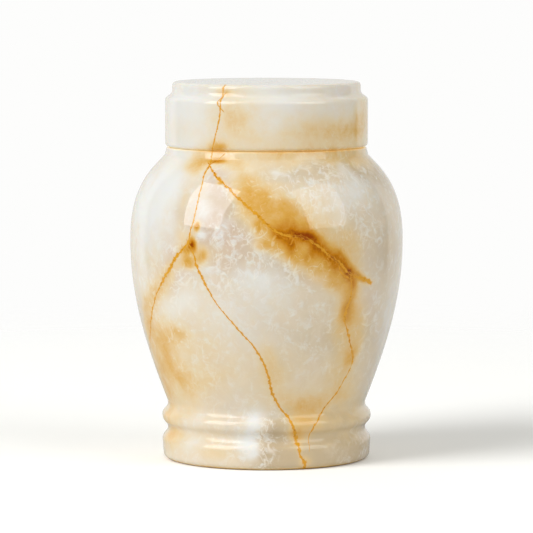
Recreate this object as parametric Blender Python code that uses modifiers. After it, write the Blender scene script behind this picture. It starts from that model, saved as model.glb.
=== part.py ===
"""A cremation urn turned from honey onyx: a hollow vessel with a plain neck, and a cap lid over it.

Both pieces are turned, so each is one profile of (radius, height) points swept round the Z axis. The
origin is the middle of the underside, at the level of whatever the urn stands on.
"""

import math

import bpy

# The base drum, from the floor up
BASE_RADIUS = 0.0720
BASE_TAPER = 0.0006          # the drum is this much narrower at its foot
BASE_SIDE = 0.0130           # the floor to where the drum's side rounds in
FOOT_EDGE = 0.0042           # rounding along the edge it stands on
BASE_SHOULDER = 0.0082       # height of the rounded step from the side up to the groove

# The groove, the ring above it and the waist
GROOVE_DEPTH = 0.0037        # in from the base drum
RING_LOWER = 0.0086          # groove to the ring's widest line
RING_RADIUS = 0.0722
RING_UPPER = 0.0080          # the ring's widest line to the waist
WAIST_RADIUS = 0.0683
WAIST_FLARE = 0.0042         # height over which the wall turns outward above the waist

# The belly and the shoulder
BELLY_RADIUS = 0.0940
BELLY_RISE = 0.1098          # top of the waist's flare to the widest line of the belly
BELLY_LEAN = math.radians(21.4)      # how far the wall leans out from the vertical at its start
SHOULDER_RISE = 0.0573       # the belly's widest line to the crease under the collar
SHOULDER_SLOPE = math.radians(49.6)  # how steeply the shoulder leaves the collar, below level

# The collar that the lid rests on
COLLAR_RADIUS = 0.0701
COLLAR_TAPER = 0.0010        # the collar is this much narrower at its top
COLLAR_CREASE = 0.0007       # the shoulder meets the collar this far out from its side
COLLAR_HEIGHT = 0.0061
COLLAR_EDGE = 0.0014         # rounding along the collar's top edge

# Walls of the vessel
WALL = 0.0110
FLOOR = 0.0160
FLOOR_CORNER = 0.0120        # rounding inside, where the wall meets the floor
NECK_WALL = 0.0090
RIM_EDGE = 0.0015            # bevel along both edges of the rim

# The lid
LID_HEIGHT = 0.0445
LID_SETBACK = 0.0003         # the lid's side stands this far inside the collar's foot
LID_WALL = 0.0100
LID_TOP = 0.0120
LEDGE_WIDTH = 0.0049         # step from the lid's side in to the disc on top
DISC_HEIGHT = 0.0058
DISC_FLARE = 0.0007          # the disc is this much wider at its foot
DISC_EDGE = 0.0020           # rounding round the top
COVE_DROP = 0.0069           # height of the curved step between the disc and the lid's side
LID_FOOT_EDGE = 0.0024       # rounding along the lower edge
LID_BORE_EDGE = 0.0010       # bevel at the mouth of the hollow

# Clearances
SEAT_GAP = 0.0003            # between the lid's foot and the collar
NECK_CLEARANCE = 0.0008      # all round, between the neck and the lid's hollow
HEAD_ROOM = 0.0080           # between the neck's rim and the ceiling of the lid

# How full each curve is, as shares of its own height
BASE_CURVE = (0.50, 0.46)
GROOVE_CURVE = (0.48, 0.56)
RING_CURVE = (0.52, 0.46)
WAIST_CURVE = 0.40
BELLY_CURVE = (0.54, 0.235)
SHOULDER_CURVE = (0.66, 0.195)
THROAT_CURVE = 0.45
COVE_CURVE = (0.60, 0.50)

# Facets
TURNS = 56
EDGE_FACETS = 2
STEP_FACETS = 5
BELLY_FACETS = 10
SHOULDER_FACETS = 9
INNER_FACETS = 5
COVE_FACETS = 6

MERGE_DISTANCE = 0.00001

# Heights that follow from the sizes above
GROOVE_Z = BASE_SIDE + BASE_SHOULDER
RING_Z = GROOVE_Z + RING_LOWER
WAIST_Z = RING_Z + RING_UPPER
BELLY_START_Z = WAIST_Z + WAIST_FLARE
BELLY_Z = BELLY_START_Z + BELLY_RISE
CREASE_Z = BELLY_Z + SHOULDER_RISE
COLLAR_Z = CREASE_Z + COLLAR_HEIGHT
LID_SEAT_Z = COLLAR_Z + SEAT_GAP
CEILING_Z = LID_SEAT_Z + LID_HEIGHT - LID_TOP
RIM_Z = CEILING_Z - HEAD_ROOM

# Radii that follow from them
LID_RADIUS = COLLAR_RADIUS - LID_SETBACK
LID_BORE = LID_RADIUS - LID_WALL
NECK_RADIUS = LID_BORE - NECK_CLEARANCE
MOUTH_RADIUS = NECK_RADIUS - NECK_WALL
CHAMBER_FOOT_RADIUS = WAIST_RADIUS - WALL


def clear_scene():
    """Removes whatever objects the file starts with."""
    for thing in list(bpy.data.objects):
        bpy.data.objects.remove(thing, do_unlink=True)


def point_on(curve, share):
    """The point a given share of the way along a cubic curve of four (radius, height) points."""
    rest = 1.0 - share
    weights = (rest ** 3, 3 * rest ** 2 * share, 3 * rest * share ** 2, share ** 3)
    return tuple(sum(w * p[axis] for w, p in zip(weights, curve)) for axis in (0, 1))


def point_inside(curve, share, depth):
    """A point at a given depth of stone behind a curve that runs up the outside of the vessel."""
    nudge = 0.001
    before = point_on(curve, share - nudge)
    after = point_on(curve, share + nudge)
    run, rise = after[0] - before[0], after[1] - before[1]
    length = math.hypot(run, rise)
    radius, height = point_on(curve, share)
    return radius - depth * rise / length, height + depth * run / length


def traced(curve, facets):
    """The points along a curve after its first one."""
    return [point_on(curve, step / facets) for step in range(1, facets + 1)]


def ogee(start, end, fullness, facets):
    """An S-shaped step that leaves start and reaches end upright. Fullness is a share at each end."""
    rise = end[1] - start[1]
    leaving = (start[0], start[1] + fullness[0] * rise)
    arriving = (end[0], end[1] - fullness[1] * rise)
    return traced((start, leaving, arriving, end), facets)


def rounded(centre, radius, start_angle, end_angle, facets=EDGE_FACETS):
    """An arc about a centre. Angles are in degrees, 0 pointing outward and 90 up."""
    points = []
    for step in range(facets + 1):
        angle = math.radians(start_angle + (end_angle - start_angle) * step / facets)
        points.append((centre[0] + radius * math.cos(angle), centre[1] + radius * math.sin(angle)))
    return points


def belly_curve():
    """The outside of the vessel from the waist's flare up to its widest line."""
    flare_radius = WAIST_RADIUS + WAIST_FLARE * math.tan(BELLY_LEAN) * (1 - WAIST_CURVE)
    start = (flare_radius, BELLY_START_Z)
    reach = BELLY_CURVE[0] * BELLY_RISE
    leaving = (start[0] + reach * math.sin(BELLY_LEAN), start[1] + reach * math.cos(BELLY_LEAN))
    arriving = (BELLY_RADIUS, BELLY_Z - BELLY_CURVE[1] * BELLY_RISE)
    return start, leaving, arriving, (BELLY_RADIUS, BELLY_Z)


def shoulder_curve():
    """The outside of the vessel from its widest line up to the crease under the collar."""
    end = (COLLAR_RADIUS + COLLAR_CREASE, CREASE_Z)
    reach = SHOULDER_CURVE[1] * SHOULDER_RISE
    leaving = (BELLY_RADIUS, BELLY_Z + SHOULDER_CURVE[0] * SHOULDER_RISE)
    arriving = (end[0] + reach * math.cos(SHOULDER_SLOPE), end[1] - reach * math.sin(SHOULDER_SLOPE))
    return (BELLY_RADIUS, BELLY_Z), leaving, arriving, end


def waist_flare():
    """The tight hollow above the ring, where the upright waist turns out into the belly."""
    start = (WAIST_RADIUS, WAIST_Z)
    end = belly_curve()[0]
    upright = (WAIST_RADIUS, WAIST_Z + WAIST_CURVE * WAIST_FLARE)
    reach = WAIST_CURVE * WAIST_FLARE
    leaning = (end[0] - reach * math.sin(BELLY_LEAN), end[1] - reach * math.cos(BELLY_LEAN))
    return traced((start, upright, leaning, end), EDGE_FACETS)


def outer_side():
    """The outside of the vessel, from the middle of its underside up to the collar's top."""
    foot_radius = BASE_RADIUS - BASE_TAPER
    groove = (BASE_RADIUS - GROOVE_DEPTH, GROOVE_Z)
    side_top = (BASE_RADIUS, BASE_SIDE)
    ring = (RING_RADIUS, RING_Z)
    collar_top = COLLAR_RADIUS - COLLAR_TAPER
    crease = shoulder_curve()[-1]
    points = [(0.0, 0.0)]
    points += rounded((foot_radius - FOOT_EDGE, FOOT_EDGE), FOOT_EDGE, -90, 0)
    points.append(side_top)
    points += ogee(side_top, groove, BASE_CURVE, STEP_FACETS)
    points += ogee(groove, ring, GROOVE_CURVE, STEP_FACETS)
    points += ogee(ring, (WAIST_RADIUS, WAIST_Z), RING_CURVE, STEP_FACETS)
    points += waist_flare()
    points += traced(belly_curve(), BELLY_FACETS)
    points += traced(shoulder_curve(), SHOULDER_FACETS)
    points.append((COLLAR_RADIUS, crease[1] + COLLAR_CREASE))
    points += rounded((collar_top - COLLAR_EDGE, COLLAR_Z - COLLAR_EDGE), COLLAR_EDGE, 0, 90)
    return points


def neck_side():
    """The neck's outside and rim, from its foot on the collar up and over to the mouth."""
    return [
        (NECK_RADIUS, COLLAR_Z),
        (NECK_RADIUS, RIM_Z - RIM_EDGE),
        (NECK_RADIUS - RIM_EDGE, RIM_Z),
        (MOUTH_RADIUS + RIM_EDGE, RIM_Z),
        (MOUTH_RADIUS, RIM_Z - RIM_EDGE),
    ]


def inner_side():
    """The inside of the vessel, from the middle of its floor up to the foot of the mouth."""
    belly, shoulder = belly_curve(), shoulder_curve()
    points = [(0.0, FLOOR)]
    corner = (CHAMBER_FOOT_RADIUS - FLOOR_CORNER, FLOOR + FLOOR_CORNER)
    points += rounded(corner, FLOOR_CORNER, -90, 0, STEP_FACETS)
    points.append((CHAMBER_FOOT_RADIUS, WAIST_Z))
    points += [point_inside(belly, step / INNER_FACETS, WALL) for step in range(INNER_FACETS)]
    points += [point_inside(shoulder, step / INNER_FACETS, WALL) for step in range(INNER_FACETS + 1)]
    start, end = points[-1], (MOUTH_RADIUS, COLLAR_Z)
    reach = THROAT_CURVE * (end[1] - start[1])
    leaving = (start[0] - reach * math.cos(SHOULDER_SLOPE), start[1] + reach * math.sin(SHOULDER_SLOPE))
    return points + traced((start, leaving, (end[0], end[1] - reach), end), EDGE_FACETS)


def vessel_profile():
    """The vessel's whole profile: up its inside, over the rim and down its outside."""
    return inner_side() + neck_side()[::-1] + outer_side()[::-1]


def lid_profile():
    """The lid's whole profile from its own foot at height 0: over the top, down, and up inside."""
    disc_radius = LID_RADIUS - LEDGE_WIDTH
    disc_top_radius = disc_radius - DISC_FLARE
    disc_foot = (disc_radius, LID_HEIGHT - DISC_HEIGHT)
    side_top = (LID_RADIUS, disc_foot[1] - COVE_DROP)
    ceiling = LID_HEIGHT - LID_TOP
    points = [(0.0, LID_HEIGHT)]
    points += rounded((disc_top_radius - DISC_EDGE, LID_HEIGHT - DISC_EDGE), DISC_EDGE, 90, 0)
    points.append(disc_foot)
    points += ogee(disc_foot, side_top, COVE_CURVE, COVE_FACETS)
    points += rounded((LID_RADIUS - LID_FOOT_EDGE, LID_FOOT_EDGE), LID_FOOT_EDGE, 0, -90)
    points.append((LID_BORE + LID_BORE_EDGE, 0.0))
    points.append((LID_BORE, LID_BORE_EDGE))
    points.append((LID_BORE, ceiling))
    points.append((0.0, ceiling))
    return points


def polished_stone(name, colour, roughness):
    """A polished stone finish."""
    material = bpy.data.materials.new(name)
    material.use_nodes = True
    shader = material.node_tree.nodes["Principled BSDF"]
    shader.inputs["Base Color"].default_value = (*colour, 1.0)
    shader.inputs["Roughness"].default_value = roughness
    shader.inputs["Metallic"].default_value = 0.0
    return material


def turned(name, profile, material, collection):
    """A solid swept once round Z from a profile that runs down its outer side."""
    mesh = bpy.data.meshes.new(name)
    corners = [(radius, 0.0, height) for radius, height in profile]
    mesh.from_pydata(corners, [(i, i + 1) for i in range(len(corners) - 1)], [])
    mesh.materials.append(material)
    piece = bpy.data.objects.new(name, mesh)
    collection.objects.link(piece)
    screw = piece.modifiers.new("turned", "SCREW")
    screw.axis = "Z"
    screw.angle = math.tau
    screw.steps = TURNS
    screw.render_steps = TURNS
    screw.use_merge_vertices = True
    screw.merge_threshold = MERGE_DISTANCE
    screw.use_smooth_shade = True
    return piece


def build_urn():
    """Makes the vessel and its lid, both placed from an empty in the middle of the underside."""
    collection = bpy.data.collections.new("cremation_urn")
    bpy.context.scene.collection.children.link(collection)
    stand = bpy.data.objects.new("urn_underside", None)
    collection.objects.link(stand)
    vessel_stone = polished_stone("vessel_onyx", (0.72, 0.60, 0.42), 0.12)
    lid_stone = polished_stone("lid_onyx", (0.76, 0.67, 0.50), 0.12)
    vessel = turned("urn_body", vessel_profile(), vessel_stone, collection)
    vessel.parent = stand
    lid = turned("urn_lid", lid_profile(), lid_stone, collection)
    lid.parent = stand
    lid.location = (0.0, 0.0, LID_SEAT_Z)


clear_scene()
build_urn()
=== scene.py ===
"""A cremation urn turned from honey onyx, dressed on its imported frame.

The vessel and its cap lid are turned again here with fine facets, where the frame's nodes stand. The
stone's clouds and veins are laid out round the urn by azimuth and height, so they run on from the
lid to the vessel, as they do in a pair turned from one block. Azimuth is 0 towards the photograph's
camera, which looks along +Y, and grows towards +X.
"""

import logging
import math
from dataclasses import dataclass
from enum import Enum
from typing import Any, Sequence

import bpy
import numpy as np
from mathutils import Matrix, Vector, noise


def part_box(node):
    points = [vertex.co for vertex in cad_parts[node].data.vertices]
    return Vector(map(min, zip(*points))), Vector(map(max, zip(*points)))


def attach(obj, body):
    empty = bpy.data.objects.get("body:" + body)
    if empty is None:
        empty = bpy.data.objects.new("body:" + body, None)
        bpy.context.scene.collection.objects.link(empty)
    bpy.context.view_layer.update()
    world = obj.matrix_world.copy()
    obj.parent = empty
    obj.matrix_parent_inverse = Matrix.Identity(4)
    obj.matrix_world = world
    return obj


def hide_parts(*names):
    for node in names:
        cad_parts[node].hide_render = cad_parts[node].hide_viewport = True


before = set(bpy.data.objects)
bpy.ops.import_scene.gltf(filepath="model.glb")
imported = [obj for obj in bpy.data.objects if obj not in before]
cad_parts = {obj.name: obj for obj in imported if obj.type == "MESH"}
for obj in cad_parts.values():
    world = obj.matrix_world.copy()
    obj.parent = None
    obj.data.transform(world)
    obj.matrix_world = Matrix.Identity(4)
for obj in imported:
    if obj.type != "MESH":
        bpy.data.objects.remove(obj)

LOG = logging.getLogger("onyx_urn")
BODY = "root"
MM = 0.001
SAME_POINT = 0.001 * MM

Point = tuple[float, float]


def linear(hex_colour: str) -> tuple[float, float, float]:
    """Turns an sRGB hex value into linear colour.

    Args:
        hex_colour: six hex digits, such as "E6C98D".

    Returns:
        The linear red, green and blue.
    """
    shares = [int(hex_colour[place : place + 2], 16) / 255 for place in (0, 2, 4)]
    return tuple(s / 12.92 if s <= 0.04045 else ((s + 0.055) / 1.055) ** 2.4 for s in shares)


def add_node(tree: bpy.types.NodeTree, kind: str, settings: dict[str, Any] | None = None,
             inputs: dict[str | int, Any] | None = None) -> bpy.types.Node:
    """Adds a node with its settings, its constant inputs and its links.

    Args:
        tree: the node tree.
        kind: the node's type name.
        settings: properties of the node itself.
        inputs: socket name or number to a constant, or to the socket that feeds it.

    Returns:
        The new node.
    """
    node = tree.nodes.new(kind)
    for name, value in (settings or {}).items():
        setattr(node, name, value)
    for name, value in (inputs or {}).items():
        if isinstance(value, bpy.types.NodeSocket):
            tree.links.new(value, node.inputs[name])
        else:
            node.inputs[name].default_value = value
    return node


def on_curve(curve: Sequence[Point], share: float) -> Point:
    """Finds the point at a share of the way along a cubic curve.

    Args:
        curve: the start, its handle, the end's handle and the end, as (radius, height) points.
        share: from 0 at the start to 1 at the end.

    Returns:
        The point.
    """
    rest = 1.0 - share
    weights = (rest**3, 3 * rest**2 * share, 3 * rest * share**2, share**3)
    return tuple(sum(w * p[axis] for w, p in zip(weights, curve)) for axis in (0, 1))


def aimed(start: Point, reach: float, angle: float) -> Point:
    """The point at a reach from a start, at an angle from straight up towards outward."""
    return start[0] + reach * math.sin(angle), start[1] + reach * math.cos(angle)


@dataclass
class Turning:
    """A profile as it is drawn, point by point, at one fineness after another.

    Attributes:
        points: the (radius, height) points so far, in metres.
        step: how far apart points are set on what is drawn next, in metres.
    """

    points: list[Point]
    step: float

    def line(self, end: Point) -> None:
        """Draws a straight stretch, or nothing where the profile is there already.

        Args:
            end: where it arrives.
        """
        start = self.points[-1]
        length = math.dist(start, end)
        if length < SAME_POINT:
            return
        count = max(1, round(length / self.step))
        for place in range(1, count + 1):
            share = place / count
            self.points.append(tuple(a + (b - a) * share for a, b in zip(start, end)))

    def curve(self, leaving: Point, arriving: Point, end: Point) -> None:
        """Draws a cubic curve.

        Args:
            leaving: the handle that it leaves towards.
            arriving: the handle that it arrives from.
            end: where it arrives.
        """
        whole = (self.points[-1], leaving, arriving, end)
        count = max(3, round(math.dist(whole[0], end) / self.step))
        self.points += [on_curve(whole, place / count) for place in range(1, count + 1)]

    def ogee(self, end: Point, fullness: Point) -> None:
        """Draws an S-shaped step that leaves and arrives upright.

        Args:
            end: where it arrives.
            fullness: how far each end stays upright, as shares of the step's height.
        """
        start = self.points[-1]
        rise = end[1] - start[1]
        self.curve((start[0], start[1] + fullness[0] * rise), (end[0], end[1] - fullness[1] * rise), end)

    def rounding(self, centre: Point, radius: float, start_angle: float, end_angle: float) -> None:
        """Draws an arc about a centre, after a straight stretch to where it starts.

        Args:
            centre: the arc's middle.
            radius: the arc's radius.
            start_angle: in degrees, 0 pointing outward and 90 up.
            end_angle: in degrees.
        """
        count = max(4, round(radius * math.radians(abs(end_angle - start_angle)) / self.step))
        for place in range(count + 1):
            angle = math.radians(start_angle + (end_angle - start_angle) * place / count)
            spot = (centre[0] + radius * math.cos(angle), centre[1] + radius * math.sin(angle))
            if place == 0:
                self.line(spot)
            else:
                self.points.append(spot)


@dataclass
class TurnedPiece:
    """A piece of stone turned round the Z axis, and the frame node that it stands for.

    Attributes:
        name: the piece's name.
        node: the frame node that it replaces.
        slot: the record's material slot; not used.
        turns: facets round the axis.
        fine_step: spacing of the facets down the sides that show, in metres.
        coarse_step: spacing of the facets inside and underneath, in metres.
    """

    name: str
    node: str
    slot: str
    turns: int = 360
    fine_step: float = 1.15 * MM
    coarse_step: float = 8.0 * MM

    def profile(self) -> list[Point]:
        """The (radius, height) points of the whole piece, with the outer side running down."""
        raise NotImplementedError

    def build(self) -> bpy.types.Object:
        """Turns the profile into a closed mesh.

        Returns:
            The new object, in the scene and riding on the urn's one body.
        """
        merge_distance = 0.01 * MM
        sharp_angle = math.radians(40)
        wire = bpy.data.meshes.new(f"{self.name}_profile")
        corners = [(radius, 0.0, height) for radius, height in self.profile()]
        wire.from_pydata(corners, [(i, i + 1) for i in range(len(corners) - 1)], [])
        drawn = bpy.data.objects.new(f"{self.name}_profile", wire)
        bpy.context.scene.collection.objects.link(drawn)
        screw = drawn.modifiers.new("turned", "SCREW")
        screw.axis = "Z"
        screw.angle = math.tau
        screw.steps = screw.render_steps = self.turns
        screw.use_merge_vertices = True
        screw.merge_threshold = merge_distance
        evaluated = drawn.evaluated_get(bpy.context.evaluated_depsgraph_get())
        mesh = bpy.data.meshes.new_from_object(evaluated)
        mesh.name = self.name
        bpy.data.objects.remove(drawn, do_unlink=True)
        bpy.data.meshes.remove(wire)
        mesh.shade_smooth()
        mesh.set_sharp_from_angle(angle=sharp_angle)
        piece = bpy.data.objects.new(self.name, mesh)
        bpy.context.scene.collection.objects.link(piece)
        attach(piece, BODY)
        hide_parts(self.node)
        return piece

    def dress(self, piece: bpy.types.Object, material: bpy.types.Material) -> None:
        """Gives the piece its stone."""
        piece.data.materials.clear()
        piece.data.materials.append(material)


@dataclass
class Vessel(TurnedPiece):
    """The hollow vessel: base drum, ring, belly, shoulder and collar, with the neck under the lid.

    Radii and heights are in metres, and a pair of shares says how full a curve is at each end.
    """

    base_radius: float = 72.0 * MM
    base_taper: float = 0.6 * MM
    base_side: float = 13.0 * MM
    foot_edge: float = 4.2 * MM
    base_shoulder: float = 8.2 * MM
    base_fullness: Point = (0.50, 0.46)
    groove_depth: float = 3.7 * MM
    ring_lower: float = 8.6 * MM
    groove_fullness: Point = (0.48, 0.56)
    ring_radius: float = 72.2 * MM
    ring_upper: float = 8.0 * MM
    ring_fullness: Point = (0.52, 0.46)
    waist_radius: float = 68.3 * MM
    waist_flare: float = 4.2 * MM
    waist_fullness: float = 0.40
    belly_rise: float = 109.8 * MM
    belly_lean: float = math.radians(21.4)
    belly_fullness: Point = (0.54, 0.235)
    shoulder_rise: float = 57.3 * MM
    shoulder_slope: float = math.radians(49.6)
    shoulder_fullness: Point = (0.66, 0.195)
    collar_radius: float = 70.1 * MM
    collar_taper: float = 1.0 * MM
    collar_crease: float = 0.7 * MM
    collar_height: float = 6.1 * MM
    collar_edge: float = 1.4 * MM
    wall: float = 11.0 * MM
    floor: float = 16.0 * MM
    floor_corner: float = 12.0 * MM
    neck_radius: float = 59.0 * MM
    neck_wall: float = 9.0 * MM
    rim_edge: float = 1.5 * MM
    throat_fullness: float = 0.45

    @property
    def belly_radius(self) -> float:
        """The widest line's radius, read from the frame."""
        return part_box(self.node)[1][0]

    @property
    def rim_z(self) -> float:
        """The height of the neck's rim, read from the frame."""
        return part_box(self.node)[1][2]

    @property
    def waist_z(self) -> float:
        """The height of the waist above the ring."""
        return self.base_side + self.base_shoulder + self.ring_lower + self.ring_upper

    @property
    def collar_z(self) -> float:
        """The height of the collar's top."""
        return self.crease[1] + self.collar_height

    @property
    def crease(self) -> Point:
        """Where the shoulder meets the collar."""
        height = self.waist_z + self.waist_flare + self.belly_rise + self.shoulder_rise
        return self.collar_radius + self.collar_crease, height

    def belly(self) -> tuple[Point, ...]:
        """Lays out the curve from the waist's flare up to the widest line.

        Returns:
            Its start, its two handles and its end.
        """
        lean = math.tan(self.belly_lean) * (1 - self.waist_fullness)
        start = (self.waist_radius + self.waist_flare * lean, self.waist_z + self.waist_flare)
        reach = self.belly_fullness[0] * self.belly_rise
        leaving = aimed(start, reach, self.belly_lean)
        top = start[1] + self.belly_rise
        arriving = (self.belly_radius, top - self.belly_fullness[1] * self.belly_rise)
        return start, leaving, arriving, (self.belly_radius, top)

    def shoulder(self) -> tuple[Point, ...]:
        """Lays out the curve from the widest line up to the crease.

        Returns:
            Its start, its two handles and its end.
        """
        start, end = self.belly()[-1], self.crease
        reach = self.shoulder_fullness[1] * self.shoulder_rise
        leaving = (start[0], start[1] + self.shoulder_fullness[0] * self.shoulder_rise)
        arriving = aimed(end, reach, math.pi / 2 + self.shoulder_slope)
        return start, leaving, arriving, end

    def outside(self) -> list[Point]:
        """Draws the outer side, from the middle of the underside up to the collar's top edge.

        Returns:
            The (radius, height) points.
        """
        foot_radius = self.base_radius - self.base_taper
        groove = (self.base_radius - self.groove_depth, self.base_side + self.base_shoulder)
        ring = (self.ring_radius, groove[1] + self.ring_lower)
        waist = (self.waist_radius, self.waist_z)
        belly, shoulder = self.belly(), self.shoulder()
        reach = self.waist_fullness * self.waist_flare
        arriving = aimed(belly[0], -reach, self.belly_lean)
        collar_top = self.collar_radius - self.collar_taper - self.collar_edge
        side = Turning([(0.0, 0.0)], self.coarse_step)
        side.line((foot_radius - self.foot_edge, 0.0))
        side.step = self.fine_step
        side.rounding((foot_radius - self.foot_edge, self.foot_edge), self.foot_edge, -90, 0)
        side.line((self.base_radius, self.base_side))
        side.ogee(groove, self.base_fullness)
        side.ogee(ring, self.groove_fullness)
        side.ogee(waist, self.ring_fullness)
        side.curve((waist[0], waist[1] + reach), arriving, belly[0])
        side.curve(*belly[1:])
        side.curve(*shoulder[1:])
        side.line((self.collar_radius, self.crease[1] + self.collar_crease))
        side.rounding((collar_top, self.collar_z - self.collar_edge), self.collar_edge, 0, 90)
        return side.points

    def behind(self, curve: tuple[Point, ...], share: float) -> Point:
        """Finds the inner face's point, one wall behind an outer curve.

        Args:
            curve: the outer curve, which runs up.
            share: how far along it.

        Returns:
            The point.
        """
        nudge = 0.001
        before, after = on_curve(curve, share - nudge), on_curve(curve, share + nudge)
        run, rise = after[0] - before[0], after[1] - before[1]
        length = math.hypot(run, rise)
        radius, height = on_curve(curve, share)
        return radius - self.wall * rise / length, height + self.wall * run / length

    def inside(self) -> list[Point]:
        """Draws the inner side, from the middle of the floor up to the rim.

        Returns:
            The (radius, height) points.
        """
        foot_radius = self.waist_radius - self.wall
        mouth_radius = self.neck_radius - self.neck_wall
        stations = 8
        side = Turning([(0.0, self.floor)], self.coarse_step)
        corner = (foot_radius - self.floor_corner, self.floor + self.floor_corner)
        side.rounding(corner, self.floor_corner, -90, 0)
        side.line((foot_radius, self.waist_z))
        side.points += [self.behind(self.belly(), place / stations) for place in range(stations)]
        side.points += [self.behind(self.shoulder(), place / stations) for place in range(stations + 1)]
        start, end = side.points[-1], (mouth_radius, self.collar_z)
        reach = self.throat_fullness * (end[1] - start[1])
        leaving = aimed(start, -reach, math.pi / 2 + self.shoulder_slope)
        side.curve(leaving, (end[0], end[1] - reach), end)
        side.line((mouth_radius, self.rim_z - self.rim_edge))
        side.line((mouth_radius + self.rim_edge, self.rim_z))
        return side.points

    def profile(self) -> list[Point]:
        """Draws the whole profile: up the inside, over the rim and down the outside.

        Returns:
            The (radius, height) points.
        """
        side = Turning(self.inside(), self.coarse_step)
        side.line((self.neck_radius - self.rim_edge, self.rim_z))
        side.line((self.neck_radius, self.rim_z - self.rim_edge))
        side.line((self.neck_radius, self.collar_z))
        outside = self.outside()[::-1]
        side.line(outside[0])
        return side.points + outside[1:]


@dataclass
class CapLid(TurnedPiece):
    """The cap lid: a disc on a cove and a ledge, a straight skirt, and the hollow that takes the neck.

    Its foot and its top are where the frame has them. Sizes are in metres. The disc's side stands nearly
    upright, so it mirrors the softboxes as thin lines.
    """

    top: float = 12.0 * MM
    wall: float = 10.0 * MM
    ledge_width: float = 4.9 * MM
    disc_height: float = 5.8 * MM
    disc_flare: float = 0.1 * MM
    disc_edge: float = 2.6 * MM
    cove_drop: float = 6.9 * MM
    cove_fullness: Point = (0.60, 0.50)
    foot_edge: float = 2.4 * MM
    bore_edge: float = 1.0 * MM

    @property
    def corners(self) -> tuple[float, float, float]:
        """The skirt's radius, and the heights of the foot and the top, read from the frame."""
        low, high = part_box(self.node)
        return high[0], low[2], high[2]

    def outside(self) -> list[Point]:
        """Draws the outer side, from the top's edge down to the foot.

        Returns:
            The (radius, height) points.
        """
        radius, foot_z, top_z = self.corners
        disc = (radius - self.ledge_width, top_z - self.disc_height)
        disc_top = disc[0] - self.disc_flare - self.disc_edge
        side = Turning([(disc_top, top_z)], self.fine_step)
        side.rounding((disc_top, top_z - self.disc_edge), self.disc_edge, 90, 0)
        side.line(disc)
        side.ogee((radius, disc[1] - self.cove_drop), self.cove_fullness)
        side.rounding((radius - self.foot_edge, foot_z + self.foot_edge), self.foot_edge, 0, -90)
        return side.points

    def profile(self) -> list[Point]:
        """Draws the whole profile: out over the top, down the side, and up the inside.

        Returns:
            The (radius, height) points.
        """
        radius, foot_z, top_z = self.corners
        bore = radius - self.wall
        outside = self.outside()
        side = Turning([(0.0, top_z)], self.fine_step)
        side.line(outside[0])
        side = Turning(side.points + outside[1:], self.coarse_step)
        side.line((bore + self.bore_edge, foot_z))
        side.line((bore, foot_z + self.bore_edge))
        side.line((bore, top_z - self.top))
        side.line((0.0, top_z - self.top))
        return side.points


class Tone(Enum):
    """What tints the calcite: one channel each of the two colour fields that a mesh carries."""

    HONEY = ("warm", 0)
    ROSE = ("warm", 1)
    BURN = ("warm", 2)
    MILK = ("pale", 0)
    MIST = ("pale", 1)
    WISP = ("pale", 2)


@dataclass(frozen=True)
class Cloud:
    """A cloud of one tone in the block, as a soft lens that the surface cuts through.

    Attributes:
        tone: what tints it.
        azimuth: of its middle, in degrees.
        height: of its middle, in mm; past 260 it runs on over the top, towards the axis.
        reach: half its length, in mm.
        rise: half its height, in mm.
        tilt: how far it climbs to the right, in degrees.
        strength: how strong the tone is at its middle, negative where it thins the tone.
    """

    tone: Tone
    azimuth: float
    height: float
    reach: float
    rise: float
    tilt: float = 0.0
    strength: float = 0.5


@dataclass(frozen=True)
class Vein:
    """A healed crack filled with iron-stained calcite, along the line where the surface cuts it.

    Attributes:
        name: where it runs; not used.
        sheet: which of the mesh's seam fields holds it, where veins that meet have different ones.
        route: (azimuth, height, half-width) points, in degrees and mm.
        burn: how brown it is, from 0 to 1.
    """

    name: str
    sheet: int
    burn: float
    route: tuple[tuple[float, float, float], ...]


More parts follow.
